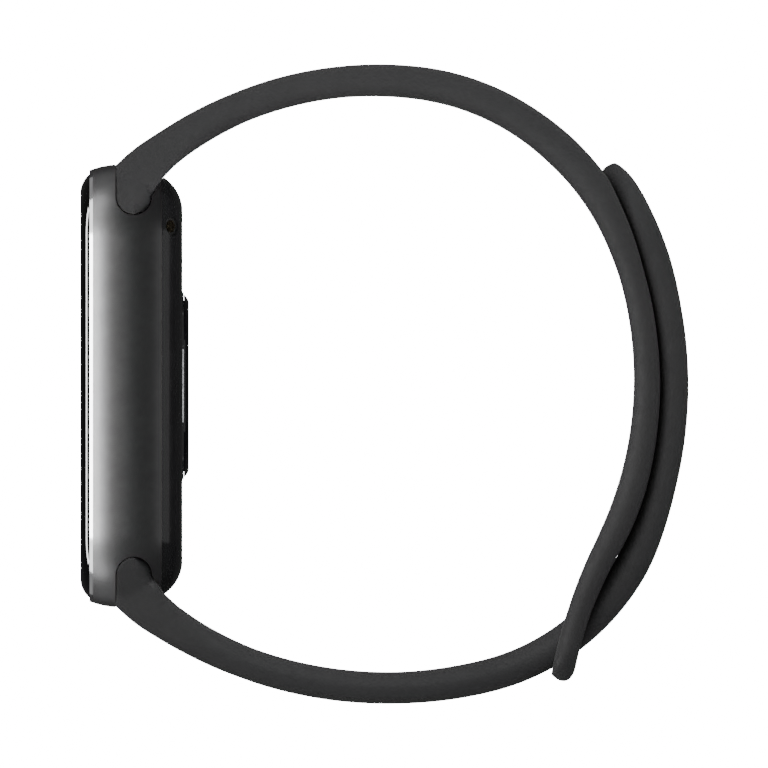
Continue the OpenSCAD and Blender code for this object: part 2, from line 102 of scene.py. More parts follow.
# Half thickness and half width along the straps, as (distance, value)
UPPER_HALF_T = ((5, 1.85), (8, 1.66), (15, 1.48), (25, 1.48), (34, 1.56), (48, 1.61), (62, 1.22),
                (88, 1.26), (96, 1.05), (103, 1.05))
UPPER_HALF_W = ((5, 9.8), (20, 9.3), (65, 9.3), (90, 10.2), (103, 10.2))
LOWER_HALF_T = ((5, 1.85), (10, 1.63), (15, 1.51), (30, 1.49), (36, 1.55), (45, 1.58), (57, 1.58),
                (65, 1.34), (92, 1.25), (98, 1.1))
LOWER_HALF_W = ((5, 9.8), (20, 9), (42, 7.6), (98, 7.6))

# Holes of the upper strap, the one that the stud sits in, and the stud's place on the tail
HOLE_R = 1.95
HOLE_PITCH = 7
HOLE_COUNT = 8
STUD_HOLE_D = 57.8
FIRST_HOLE_D = STUD_HOLE_D - 3 * HOLE_PITCH
STUD_D = 91

# The rubber is fuller than the CAD straps by a skin, and by more in the frame's channels, where
# it closes the CAD's clearance up to a half width
SKIN = 0.05
FILL = 0.083
FILL_HALF_W = 8.3

# Outer faces where the tail lies on the upper strap, as (distance, place on the thickness):
# the upper strap's, pressed in, and the tail's
PRESSED_T = ((44, 1.66), (50, 1.74), (53, 1.8), (54.5, 1.62), (56, 1.48), (59, 1.34), (62, 1.2),
             (68, 1.2), (71, 1.24), (77, 1.32), (83, 1.45), (86, 1.42), (89, 1.3), (92, 1.21))
TAIL_T = ((57, 1.58), (65, 1.34), (82, 1.2), (87, 1.26), (90, 1.2), (92.7, 1.1), (94.6, 0.97),
          (95.4, 0.86), (96.1, 0.7), (96.8, 0.45), (97.2, 0.25), (97.5, 0))
PRESSED_FROM_D = 44
PRESSED_TO_D = 88
PRESSED_FADE_D = 4

# The tail's inner face: where it begins to lie on the upper strap, how soon it does, and how
# far it may reach for it
LIE_FROM_D = 53
LIE_FADE_D = 2
LIE_MOST = 1

# Tips: the tail's is half an oval across its width, with a small round over its thickness; the
# upper strap's has two round corners
NOSE_POWER = 2.2
NOSE_R = 0.2
TIP_REACH = 3
TIP_INSET = 2.2

# Window of the upper strap, which the slim end of the lower strap passes through, and the
# hollow in the outer face before it
WINDOW_HALF_W = 7.9
WINDOW_GAP = 0.05
WINDOW_NEAR_D = 95.9
WINDOW_FAR_D = 100.9
WINDOW_SLANT = 1.0
WINDOW_RIM = 0.22
WINDOW_EASE = 0.12
HOLLOW_LENGTH = 7
HOLLOW_FLOOR = 0.3


# ---------- small geometry helpers ----------

def lookup(d, table):
    """Straight-line interpolation in a table of (distance, value)."""
    if d <= table[0][0]:
        return table[0][1]
    for (d0, v0), (d1, v1) in zip(table, table[1:]):
        if d <= d1:
            return v0 + (v1 - v0) * (d - d0) / (d1 - d0)
    return table[-1][1]


def smooth(x):
    x = min(max(x, 0), 1)
    return x * x * (3 - 2 * x)


def mix(a, b, f):
    return a + (b - a) * f


def spaced(low, high, gap):
    """Values from low up to, but not including, high, at most gap apart."""
    steps = max(1, math.ceil((high - low) / gap - 1e-6))
    return [low + (high - low) * i / steps for i in range(steps)]


def place(route, d):
    """(x, y, heading in radians) at a distance along a chain of arcs."""
    (x, y), heading, arcs = route
    for i, (radius, turn) in enumerate(arcs):
        length = radius * math.radians(abs(turn))
        last = d <= length or i == len(arcs) - 1
        part = d if last else length
        turned = math.copysign(math.degrees(part / radius), turn)
        middle = math.radians(heading + turned / 2)
        chord = 2 * radius * math.sin(math.radians(turned) / 2) * math.copysign(1, turn)
        x += chord * math.cos(middle)
        y += chord * math.sin(middle)
        heading += turned
        if last:
            break
        d -= length
    return x, y, math.radians(heading)


def beside(route, d, off):
    """A point beside a route, off to the left of its heading."""
    x, y, heading = place(route, d)
    return Vector((x - off * math.sin(heading), y + off * math.cos(heading)))


def resample(points, steps):
    """The same line with its points evenly spaced, steps of them after the first."""
    lengths = [0.0]
    for a, b in zip(points, points[1:]):
        lengths.append(lengths[-1] + (b - a).length)
    line = []
    for k in range(1, steps + 1):
        d = lengths[-1] * k / steps
        i = max(i for i in range(len(points) - 1) if lengths[i] <= d)
        line.append(points[i].lerp(points[i + 1], (d - lengths[i]) / (lengths[i + 1] - lengths[i])))
    return line


def soften(points):
    """Rounds a line's corners; its ends stay."""
    between = [(a + 2 * b + c) / 4 for a, b, c in zip(points, points[1:], points[2:])]
    return [points[0]] + between + [points[-1]]


def body_half_width(l, t):
    """Half the frame's width at a place on the length and a depth, on its bulged side."""
    inset = BULGE_R - math.sqrt(max(BULGE_R ** 2 - (t - BULGE_T) ** 2, 0.01))
    radius = CORNER_R - inset
    along = abs(l) - (BODY_L / 2 - CORNER_R)
    core = BODY_W / 2 - CORNER_R
    if along <= 0:
        return core + radius
    return core + math.sqrt(max(radius ** 2 - along ** 2, 0.0))


def mesh_piece(name, points, faces, sharp=40):
    """A smooth-shaded piece from points in millimetres; doubled points are joined."""
    mesh = bpy.data.meshes.new(name)
    mesh.from_pydata([tuple(Vector(p) * MM) for p in points], [], faces)
    bm = bmesh.new()
    bm.from_mesh(mesh)
    bmesh.ops.remove_doubles(bm, verts=bm.verts, dist=1e-6)
    bmesh.ops.dissolve_degenerate(bm, edges=bm.edges, dist=1e-7)
    bmesh.ops.recalc_face_normals(bm, faces=bm.faces)
    bm.to_mesh(mesh)
    bm.free()
    mesh.shade_smooth()
    mesh.set_sharp_from_angle(angle=math.radians(sharp))
    obj = bpy.data.objects.new(name, mesh)
    bpy.context.scene.collection.objects.link(obj)
    return obj


# ---------- straps ----------

# Steps round an edge; the cells round the holes, half the block of them that a hole opens, and
# how round the first loop inside a block is; the column where the window's opening ends
EDGE_STEPS = 12
CELL = HOLE_PITCH / 12
BLOCK_CELLS = 5
BLOCK_HALF = BLOCK_CELLS * CELL
BLOCK_ROUND = 0.55
WALL_W = 8.15
HALF_COLUMNS = ([i * CELL for i in range(BLOCK_CELLS + 1)]
                + [3.6, 4.4, 5.2, 6, 6.8, 7.4, WINDOW_HALF_W, WALL_W, 8.6, 9.1])
COLUMNS = [-w for w in reversed(HALF_COLUMNS[1:])] + HALF_COLUMNS
# Half width of the flat part, below which the columns begin to be spaced in proportion
NARROW_FLAT = 3.2
NARROW_FADE = 1.4

# Steps along an end's side lines: round its bottom, after it, and how many of those lead
# straight to the shoulder at the frame's end
LUG_TURNS = 12
LUG_STEPS = 16
SHOULDER_STEPS = 6
SHOULDER_INSET = 0.1
# Side lines, the outer one (-1) and the inner one (1), as (side, distance where the line meets
# the route's own thickness, how much of the extra fatness is left there)
LUG_SIDES = ((-1, 3.6, 1), (1, 4.7, 1.5))

# Sides of an end: what lies past a half width is spread out to just inside the frame's own
# width, with a soft change where the strap is the wider one. Towards the inner face the sides
# drop in again: fully up to a distance, then less and less.
LUG_INSIDE = 0.03
LUG_SOFTNESS = 0.25
SPREAD_HALF_W = 3
LUG_DROP = 1.2
DROP_TO_D = 1.5
DROP_FADE_D = 4.5

# Rounded edges: reach and squareness on an end, squareness of a full round, and the stretch
# where the one becomes the other
LUG_EDGE = 0.35
LUG_POWER = 6
ROUND_POWER = 2
EDGE_FROM_D = 4.5
EDGE_FADE_D = 7


class Strap:
    """Rings along a strap in (d, w, t): distance, place on the width, and place on the
    thickness with + outwards. A ring goes over the outer face, round one edge, back over the
    inner face and round the other edge."""

    def __init__(self, route, side, half_ts, half_ws, rows, tip_d=None, nose=False):
        self.route, self.side = route, side
        self.half_ts, self.half_ws = half_ts, half_ws
        self.rows, self.tip_d, self.nose = rows, tip_d, nose
        self.last = len(COLUMNS) - 1
        self.ring = 2 * self.last + 2 * EDGE_STEPS
        self.lug = [self.lug_lines(grow) for grow in (0, FILL)] if rows[0] < END_D else None
        self.points, self.faces, self.opened = [], [], set()

    def lug_lines(self, grow):
        """Outer and inner side lines of the end in the frame, from the lug's round bottom to
        where the route's own thickness takes over. grow makes the lug fatter."""
        side, radius = self.side, LUG_R + grow
        x, y = FRONT_X + LUG_T, BODY_Y + side * LUG_L
        shoulder = Vector((x - radius, BODY_Y + side * (BODY_L / 2 - SHOULDER_INSET)))
        turns = [math.pi / 2 * i / LUG_TURNS for i in range(LUG_TURNS + 1)]
        lines = []
        for way, start_d, fatter in LUG_SIDES:
            line = [Vector((x + way * radius * math.sin(a), y - side * radius * math.cos(a)))
                    for a in turns]
            steps = LUG_STEPS
            if way < 0:
                line += resample([line[-1], shoulder], SHOULDER_STEPS)
                steps -= SHOULDER_STEPS
            more = grow * fatter / (END_D - start_d)
            on_route = [beside(self.route, d, -way * side * (self.half_t(d) + more * (END_D - d)))
                        for d in spaced(start_d, END_D, 0.5) + [END_D]]
            line += soften([line[-1]] + resample([line[-1]] + on_route, steps))[1:]
            lines.append(line)
        return lines

    def lug_point(self, d, out, fill):
        """A point between the side lines; fill is 1 where the lug is fatter."""
        s = d / END_D * (len(self.lug[0][0]) - 1)
        i = min(int(s), len(self.lug[0][0]) - 2)
        sides = []
        for plain, fat in zip(*self.lug):
            plain_point = plain[i].lerp(plain[i + 1], s - i)
            fat_point = fat[i].lerp(fat[i + 1], s - i)
            sides.append(plain_point.lerp(fat_point, fill))
        outer, inner = sides
        return inner.lerp(outer, (out + 1) / 2)

    def lug_at(self, d, w, out):
        """A point of the end in the frame, spread out to the frame's own width."""
        p = self.lug_point(d, out, 1 - smooth(abs(w) - FILL_HALF_W))
        half_w = self.half_w(d)
        over = body_half_width(p.y - BODY_Y, p.x - FRONT_X) - LUG_INSIDE - half_w
        most = (over + math.sqrt(over ** 2 + LUG_SOFTNESS)) / 2
        drop = LUG_DROP * smooth(-out) * (1 - smooth((d - DROP_TO_D) / DROP_FADE_D))
        spread = (most - drop) * smooth((abs(w) - SPREAD_HALF_W) / (half_w - SPREAD_HALF_W - 1))
        return (p.x, p.y, MID_Z + w + math.copysign(spread, w))

    def half_t(self, d):
        half = lookup(d, self.half_ts) + SKIN
        if self.tip_d is None or d < self.tip_d - half:
            return half
        return math.sqrt(max(half ** 2 - (d - self.tip_d + half) ** 2, 0.0))

    def faces_t(self, d):
        """Places of the inner and the outer face on the thickness."""
        half = self.half_t(d)
        return -half, half

    def half_w(self, d):
        half = lookup(d, self.half_ws)
        if self.tip_d is None:
            return half
        reach = half if self.nose else TIP_REACH
        along = max(0, d - (self.tip_d - reach)) / reach
        if self.nose:
            return half * math.sqrt(max(1 - along ** NOSE_POWER, 0.0))
        return half - TIP_INSET * (1 - math.sqrt(max(1 - along ** 2, 0.0)))

    def shift(self, d):
        """How far the ring leans along the strap from its middle to its inner face."""
        return 0.0

    def outer_t(self, d, w):
        return self.faces_t(d)[1]

    def at(self, d, w, t):
        """A point of the strap in the model's frame."""
        half_t = self.half_t(d)
        out = t / half_t if half_t > 1e-6 else 0
        if self.lug and d < END_D:
            return self.lug_at(d, w, out)
        p = beside(self.route, d - self.shift(d) * out, self.side * t)
        return (p.x, p.y, MID_Z + w)

    def outer_index(self, row, j):
        return row * self.ring + j

    def inner_index(self, row, j):
        return row * self.ring + 2 * self.last + EDGE_STEPS - j

    def column_w(self, d, j, edge):
        """Place of a column: fixed near the middle, stretched to the width outside it, and
        all in proportion where the strap is narrow."""
        flat = max(self.half_w(d) - edge, 0)
        w = abs(COLUMNS[j])
        stretched = w
        if w > BLOCK_HALF:
            stretch = (flat - BLOCK_HALF) / (COLUMNS[-1] - BLOCK_HALF)
            stretched = BLOCK_HALF + (w - BLOCK_HALF) * stretch
        narrow = w * flat / COLUMNS[-1]
        wide = smooth((flat - NARROW_FLAT) / NARROW_FADE)
        return math.copysign(mix(narrow, stretched, wide), COLUMNS[j])

    def edge_shape(self, d):
        """How far the rounded edge reaches in, and how square it is."""
        k = smooth((d - EDGE_FROM_D) / EDGE_FADE_D) if self.lug else 1
        return mix(LUG_EDGE, self.half_t(d), k), mix(LUG_POWER, ROUND_POWER, k)

    def build_rings(self):
        for d in self.rows:
            low, high = self.faces_t(d)
            edge, power = self.edge_shape(d)
            edge = min(edge, self.half_w(d))
            across = [self.column_w(d, j, edge) for j in range(self.last + 1)]
            rounds = []
            for i in range(1, EDGE_STEPS):
                a = math.pi * (0.5 - i / EDGE_STEPS)
                t = math.copysign(abs(math.sin(a)) ** (2 / power), math.sin(a))
                rounds.append((across[-1] + edge * math.cos(a) ** (2 / power),
                               mix(low, high, (t + 1) / 2)))
            self.points += [self.at(d, w, self.outer_t(d, w)) for w in across]
            self.points += [self.at(d, w, t) for w, t in rounds]
            self.points += [self.at(d, w, low) for w in reversed(across)]
            self.points += [self.at(d, -w, t) for w, t in reversed(rounds)]

    def perimeter(self, rows, columns):
        """The block's edge as (row, column), once round."""
        (i0, i1), (j0, j1) = rows, columns
        return ([(i0, j) for j in range(j0, j1)] + [(i, j1) for i in range(i0, i1)]
                + [(i1, j) for j in range(j1, j0, -1)] + [(i, j0) for i in range(i1, i0, -1)])

    def open_block(self, rows, columns, loops):
        """Takes a block of cells out of both faces and joins its two edges by loops of points
        in (d, w, t), from the outer face to the inner one."""
        edge = self.perimeter(rows, columns)
        for i in range(*rows):
            for j in range(*columns):
                self.opened.add((i, j))
                self.opened.add((i, 2 * self.last + EDGE_STEPS - j - 1))
        strips = [[self.outer_index(i, j) for i, j in edge]]
        for loop in loops:
            first = len(self.points)
            self.points += [self.at(*p) for p in loop]
            strips.append(list(range(first, first + len(edge))))
        strips.append([self.inner_index(i, j) for i, j in edge])
        for a, b in zip(strips, strips[1:]):
            for k in range(len(edge)):
                n = (k + 1) % len(edge)
                self.faces.append((a[k], a[n], b[n], b[k]))

    def open_round(self, d, profile):
        """A round opening; profile is a list of (radius, face, depth below that face), where
        face is 1 for the outer one and -1 for the inner one."""
        row = min(range(len(self.rows)), key=lambda i: abs(self.rows[i] - d))
        rows = (row - BLOCK_CELLS, row + BLOCK_CELLS)
        middle = self.last // 2
        columns = (middle - BLOCK_CELLS, middle + BLOCK_CELLS)
        square = [(self.rows[i], COLUMNS[j]) for i, j in self.perimeter(rows, columns)]

        def ring(radius, face, depth, round_part):
            """One loop, from the block's square at round_part 0 to the circle at 1."""
            loop = []
            for at_d, w in square:
                a = math.atan2(w, at_d - d)
                circle = (d + radius * math.cos(a), radius * math.sin(a))
                p = (mix(at_d, circle[0], round_part), mix(w, circle[1], round_part))
                low, high = self.faces_t(p[0])
                loop.append((p[0], p[1], high - depth if face > 0 else low + depth))
            return loop

        loops = [ring(*profile[0], BLOCK_ROUND)]
        loops += [ring(*p, 1) for p in profile]
        loops.append(ring(*profile[-1], BLOCK_ROUND))
        self.open_block(rows, columns, loops)

    def piece(self, name, close_start=False, close_end=False):
        for i in range(len(self.rows) - 1):
            for c in range(self.ring):
                if (i, c) in self.opened:
                    continue
                n = (c + 1) % self.ring
                a, b = i * self.ring, (i + 1) * self.ring
                self.faces.append((a + c, a + n, b + n, b + c))
        if close_start:
            self.faces.append(tuple(reversed(range(self.ring))))
        if close_end:
            first = (len(self.rows) - 1) * self.ring
            self.faces.append(tuple(range(first, first + self.ring)))
        return mesh_piece(name, self.points, self.faces)


def path_points(route, low, high):
    """(distance, point) along the middle of a stretch of a route."""
    return [(d, beside(route, d, 0)) for d in spaced(low, high, 0.25)]


# Rows of an end, and the stretches of the two straps that can touch the other strap
LUG_ROWS = [END_D * i / (LUG_TURNS + LUG_STEPS) for i in range(LUG_TURNS + LUG_STEPS)]
LOWER_PATH = path_points(LOWER, 44, 62)
UPPER_PATH = path_points(UPPER, 46, 96)


def room(p, path, half_ts):
    """How far a point lies outside the strap that follows a path."""
    return min((p - q).length - lookup(at, half_ts) for at, q in path)


class UpperStrap(Strap):
    """The strap with the holes and the window."""

    def shift(self, d):
        rise = smooth((d - WINDOW_NEAR_D) / (WINDOW_FAR_D - WINDOW_NEAR_D))
        fall = 1 - smooth((d - WINDOW_FAR_D) / (self.tip_d - WINDOW_FAR_D))
        return WINDOW_SLANT * rise * fall

    def faces_t(self, d):
        half = self.half_t(d)
        from_start = smooth((d - PRESSED_FROM_D) / PRESSED_FADE_D)
        to_end = 1 - smooth((d - PRESSED_TO_D) / PRESSED_FADE_D)
        return -half, mix(half, lookup(d, PRESSED_T), from_start * to_end)

    def outer_t(self, d, w):
        """The outer face, hollowed where the slim end comes through."""
        low, t = self.faces_t(d)
        slack, step = 0.02, 0.03
        along = WINDOW_NEAR_D - HOLLOW_LENGTH <= d <= WINDOW_NEAR_D + slack
        if not along or abs(w) > WINDOW_HALF_W + slack:
            return t
        while t > low + HOLLOW_FLOOR:
            p = beside(self.route, d, self.side * t)
            if room(p, LOWER_PATH, LOWER_HALF_T) > SKIN + WINDOW_GAP:
                break
            t -= step
        return t


class Tail(Strap):
    """The slim strap's free end: its inner face lies on the upper strap."""

    @functools.cache
    def faces_t(self, d):
        """The two faces; the inner one moves in until it meets the upper strap."""
        low = start = -lookup(d, self.half_ts) - SKIN
        step = 0.01
        if d > LIE_FROM_D:
            while (low > start - LIE_MOST
                   and room(beside(self.route, d, self.side * low), UPPER_PATH, PRESSED_T) > 0):
                low -= step
            low = mix(start, low, smooth((d - LIE_FROM_D) / LIE_FADE_D))
        high = lookup(d, TAIL_T) + SKIN
        middle, half = (low + high) / 2, (high - low) / 2
        left = self.tip_d - d
        if left < NOSE_R:
            half *= math.sqrt(max(1 - (1 - left / NOSE_R) ** 2, 0.0))
        return middle - half, middle + half


def upper_rows():
    """Rows of the upper strap: its end, the cells of the holes, the window and the tip."""
    first = FIRST_HOLE_D - BLOCK_HALF
    last_row = FIRST_HOLE_D + (HOLE_COUNT - 1) * HOLE_PITCH + BLOCK_HALF
    cells = round((last_row - first) / CELL)
    rows = LUG_ROWS + spaced(END_D, first, gap=0.6)
    rows += [first + i * CELL for i in range(cells + 1)]
    rows += spaced(last_row, WINDOW_NEAR_D, gap=0.45)[1:]
    rows += spaced(WINDOW_NEAR_D, WINDOW_FAR_D, gap=0.6)
    rows += tip_rows(WINDOW_FAR_D, UPPER_TIP_D, half_t=UPPER_HALF_T[-1][1], gap=0.35)
    return rows


def tip_rows(start, tip, half_t, gap):
    """Rows up to a rounded tip, closer together towards its end."""
    rows = spaced(start, tip - half_t, gap) if tip - half_t > start else []
    turns = 9
    rows += [tip - half_t * (1 - math.sin(math.pi / 2 * i / turns)) for i in range(turns + 1)]
    return [d for d in rows if d >= start - 1e-6]


def hole_profile(radius, rim=0.28, steps=4):
    """A plain hole with rounded rims."""
    outer = []
    for i in range(steps + 1):
        a = math.pi / 2 * i / steps
        outer.append((radius + rim * (1 - math.sin(a)), 1, rim * (1 - math.cos(a))))
    return outer + [(r, -1, depth) for r, _, depth in reversed(outer)]


# The stud's hole through the tail, as (radius, face, depth below that face), with a seat for
# its cap outside and one for its flange inside
STUD_SEAT = [(2.74, 1, 0), (2.66, 1, 0.03), (2.64, 1, 0.1), (2.64, 1, 0.5), (1.02, 1, 0.5),
             (1.02, -1, 0.4), (2.24, -1, 0.4), (2.24, -1, 0.1), (2.26, -1, 0.03), (2.34, -1, 0)]


def window_loops(strap, rows, columns):
    """Walls of the window between its edges on the two faces."""
    far = WINDOW_FAR_D - WINDOW_EASE
    loops = []
    for face in (1, -1):
        loop = []
        for i, j in strap.perimeter(rows, columns):
            d = strap.rows[i]
            low, high = strap.faces_t(d)
            w = max(-WINDOW_HALF_W, min(WINDOW_HALF_W, COLUMNS[j]))
            t = high - WINDOW_RIM if face > 0 else low + WINDOW_RIM
            if i == rows[0]:
                t = mix(low, strap.outer_t(d, 0), 0.65 if face > 0 else 0.35)
                d += WINDOW_EASE
            loop.append((min(d, far), w, t))
        loops.append(loop)
    return loops


def make_upper_strap():
    strap = UpperStrap(UPPER, 1, UPPER_HALF_T, UPPER_HALF_W, upper_rows(), UPPER_TIP_D)
    strap.build_rings()
    for i in range(HOLE_COUNT):
        strap.open_round(FIRST_HOLE_D + i * HOLE_PITCH, hole_profile(HOLE_R))
    near, far = [min(range(len(strap.rows)), key=lambda i: abs(strap.rows[i] - d))
                 for d in (WINDOW_NEAR_D, WINDOW_FAR_D)]
    wall = COLUMNS.index(WALL_W)
    columns = (strap.last - wall, wall)
    strap.open_block((near, far), columns, window_loops(strap, (near, far), columns))
    return strap.piece("upper_strap_rubber")


def make_lower_strap():
    rows = LUG_ROWS + spaced(END_D, SEAM_D, gap=0.7) + [SEAM_D]
    strap = Strap(LOWER, -1, LOWER_HALF_T, LOWER_HALF_W, rows)
    strap.build_rings()
    return strap.piece("lower_strap_rubber", close_end=True)


def make_tail():
    first = STUD_D - BLOCK_HALF
    rows = spaced(SEAM_D, first, gap=0.7)
    rows += [first + i * CELL for i in range(2 * BLOCK_CELLS + 1)]
    rows += tip_rows(rows[-1] + 0.3, LOWER_TIP_D, half_t=NOSE_R, gap=0.3)
    tail = Tail(LOWER, -1, LOWER_HALF_T, LOWER_HALF_W, rows, LOWER_TIP_D, nose=True)
    tail.build_rings()
    tail.open_round(STUD_D, STUD_SEAT)
    return tail.piece("strap_tail_rubber", close_start=True)


# ---------- clasp ----------

def lathe(name, route, d, side, profile, steps=48):
    """A turned piece on a strap: profile is (radius, place on the thickness, + outwards)."""
    x, y, heading = place(route, d)
    out = Vector((-side * math.sin(heading), side * math.cos(heading), 0))
    along = Vector((math.cos(heading), math.sin(heading), 0))
    points, faces = [], []
    for r, t in profile:
        for k in range(steps):
            a = 2 * math.pi * k / steps
            points.append(Vector((x, y, MID_Z)) + out * t + along * r * math.cos(a)
                          + Vector((0, 0, r * math.sin(a))))
    for i in range(len(profile) - 1):
        for k in range(steps):
            n = (k + 1) % steps
            a, b = i * steps, (i + 1) * steps
            faces.append((a + k, a + n, b + n, b + k))
    return mesh_piece(name, points, faces, 30)


# Cap outside the tail and stud inside it, as (radius, place on the thickness)
CAP_PROFILE = [(0, 0.75), (2.5, 0.75), (2.57, 0.78), (2.6, 0.85), (2.6, 0.96), (2.57, 1.03),
               (2.5, 1.06), (2.3, 1.065), (2.24, 1.05), (2.2, 1.01), (2.1, 0.995), (1.2, 1.01),
               (0.5, 1.015), (0, 1.02)]
STUD_PROFILE = [(0, 0.74), (1, 0.74), (1, -0.85), (2.12, -0.85), (2.18, -0.88), (2.2, -0.95),
                (2.2, -1.15), (2.17, -1.21), (2.1, -1.24), (1.6, -1.25), (1.5, -1.28),
                (1.45, -1.36), (1.42, -1.9), (1.4, -2.6), (1.43, -2.9), (1.44, -3.05),
                (1.38, -3.3), (1.22, -3.6), (1.02, -3.8), (0.75, -3.9), (0.4, -3.945), (0, -3.95)]


# ---------- materials ----------

class Finish:
    """A node material with helpers for its procedural parts. Scales are in millimetres."""

    def __init__(self, name):
        self.name = name
        self.material = bpy.data.materials.new(name)
        self.material.use_nodes = True
        self.tree = self.material.node_tree
        self.shader = self.tree.nodes["Principled BSDF"]
        self.coords = self.tree.nodes.new("ShaderNodeTexCoord").outputs["Object"]

    def set(self, **values):
        names = {"metallic": "Metallic", "ior": "IOR", "coat": "Coat Weight",
                 "coat_roughness": "Coat Roughness", "sheen": "Sheen Weight",
                 "specular": "Specular IOR Level"}
        for key, value in values.items():
            self.shader.inputs[names[key]].default_value = value
        return self

    def link(self, out, to):
        self.tree.links.new(out, to)

    def mapped(self, stretch):
        """The object's coordinates; a number over 1 narrows the pattern along that axis."""
        node = self.tree.nodes.new("ShaderNodeMapping")
        node.inputs["Scale"].default_value = stretch
        self.link(self.coords, node.inputs["Vector"])
        return node.outputs["Vector"]

    def noise(self, size, detail=3, stretch=(1, 1, 1)):
        """Noise whose features are about size millimetres across."""
        node = self.tree.nodes.new("ShaderNodeTexNoise")
        node.inputs["Scale"].default_value = 1 / (size * MM)
        node.inputs["Detail"].default_value = detail
        node.inputs["Roughness"].default_value = 0.55
        self.link(self.mapped(stretch), node.inputs["Vector"])
        return node.outputs["Fac"]

    def cells(self, size):
        """Round cells about size millimetres across."""
        node = self.tree.nodes.new("ShaderNodeTexVoronoi")
        node.inputs["Scale"].default_value = 1 / (size * MM)
        self.link(self.coords, node.inputs["Vector"])
        return node.outputs["Distance"]

    def between(self, fac, low, high, fac_low=0.35, fac_high=0.65):
        """fac, from fac_low to fac_high, turned into a value from low to high."""
        node = self.tree.nodes.new("ShaderNodeMapRange")
        for key, value in (("From Min", fac_low), ("From Max", fac_high),
                           ("To Min", low), ("To Max", high)):
            node.inputs[key].default_value = value
        self.link(fac, node.inputs["Value"])
        return node.outputs["Result"]

    def blend(self, fac, colour_a, colour_b, fac_low=0.35, fac_high=0.65):
        """fac turned into a colour from colour_a to colour_b."""
        node = self.tree.nodes.new("ShaderNodeMix")
        node.data_type = "RGBA"
        node.inputs["A"].default_value = (*colour_a, 1)
        node.inputs["B"].default_value = (*colour_b, 1)
        self.link(self.between(fac, 0, 1, fac_low, fac_high), node.inputs["Factor"])
        return node.outputs["Result"]

    def colour(self, out):
        self.link(out, self.shader.inputs["Base Color"])
        return self

    def roughness(self, out):
        self.link(out, self.shader.inputs["Roughness"])
        return self

    def bump(self, *heights):
        """Bumps as (height output, depth in millimetres), one after another."""
        normal = None
        for out, depth in heights:
            node = self.tree.nodes.new("ShaderNodeBump")
            node.inputs["Strength"].default_value = 1
            node.inputs["Distance"].default_value = depth * MM
            self.link(out, node.inputs["Height"])
            if normal:
                self.link(normal, node.inputs["Normal"])
            normal = node.outputs["Normal"]
        self.link(normal, self.shader.inputs["Normal"])
        return self


def shade(colour, by):
    return tuple(c * by for c in colour)


def rubber():
    """Soft charcoal rubber: fine matt grain, faint mottling and a faint sheen."""
    f = Finish("strap_rubber").set(ior=1.45, sheen=0.06, specular=0.2)
    grain, patch = f.noise(0.09, 4), f.noise(3, 4)
    f.colour(f.blend(patch, (0.0375, 0.0375, 0.0385), (0.0395, 0.0395, 0.0405)))
    f.roughness(f.between(f.noise(1.2, 4), 0.56, 0.68))
    return f.bump((grain, 0.012), (f.noise(0.5, 3), 0.01))


def satin_metal():
    """Dark grey frame: bead-blasted and anodised."""
    f = Finish("frame_metal").set(metallic=1.0)
    f.colour(f.blend(f.noise(2.5, 4), (0.30, 0.30, 0.305), (0.33, 0.33, 0.335)))
    f.roughness(f.between(f.noise(0.15, 3), 0.35, 0.4))
    return f.bump((f.noise(0.06, 3), 0.001))


def polished_trim():
    f = Finish("polished_trim").set(metallic=1.0)
    f.colour(f.blend(f.noise(0.8, 3), (0.84, 0.85, 0.86), (0.9, 0.9, 0.91)))
    f.roughness(f.between(f.noise(0.3, 3), 0.08, 0.14))
    return f.bump((f.noise(0.05, 2), 0.0003))


def gloss(name, colour, low, high, ior=1.5, wave=0.0006):
    """Polished black glass or plastic, with faint wiping marks in its gloss."""
    f = Finish(name).set(ior=ior)
    f.colour(f.blend(f.noise(4, 3), colour, shade(colour, 1.25)))
    f.roughness(f.between(f.noise(1.6, 5, (1, 1, 3)), low, high))
    return f.bump((f.noise(6, 2), wave))


def moulded(name, colour, low=0.42, high=0.55, grain=0.12):
    """Moulded plastic or soft rubber with a spark-eroded grain."""
    depth = 0.006
    f = Finish(name)
    f.colour(f.blend(f.noise(1.5, 3), shade(colour, 0.9), shade(colour, 1.1)))
    f.roughness(f.between(f.noise(0.4, 3), low, high))
    return f.bump((f.cells(grain), depth), (f.noise(grain / 2, 3), depth / 2))


def metal(name, colour, low=0.22, high=0.38, stretch=(1, 1, 14), depth=0.002, size=0.35):
    """Bare metal with rolling or brushing marks along one way."""
    f = Finish(name).set(metallic=1.0)
    marks = f.noise(size, 5, stretch)
    f.colour(f.blend(f.noise(1.5, 4), shade(colour, 0.88), colour))
    f.roughness(f.between(marks, low, high))
    return f.bump((marks, depth))


def board():
    """Green solder mask with copper tracks just under it."""
    f = Finish("board").set(coat=0.4, coat_roughness=0.2)
    tracks = f.noise(0.7, 1, (1, 4, 1))
    f.colour(f.blend(tracks, (0.012, 0.11, 0.06), (0.03, 0.2, 0.1), 0.48, 0.52))
    f.roughness(f.between(f.noise(0.5, 3), 0.3, 0.45))
    return f.bump((tracks, 0.01))


def foil():
    """Crinkled pouch foil of the battery."""
    f = Finish("battery_foil").set(metallic=1.0)
    f.colour(f.blend(f.noise(2, 4), (0.5, 0.51, 0.53), (0.62, 0.63, 0.65)))
    f.roughness(f.between(f.noise(0.8, 4), 0.25, 0.42))
    return f.bump((f.noise(1.6, 5, (1, 1.6, 1)), 0.08))


def ribbon():
    """Amber flexible circuit with fine copper lines."""
    f = Finish("flex_ribbon").set(coat=0.5, coat_roughness=0.15)
    lines = f.noise(0.35, 1, (1, 1, 3))
    f.colour(f.blend(lines, (0.35, 0.12, 0.015), (0.68, 0.36, 0.08), 0.45, 0.55))
    f.roughness(f.between(f.noise(0.4, 3), 0.22, 0.35))
    return f.bump((lines, 0.006))


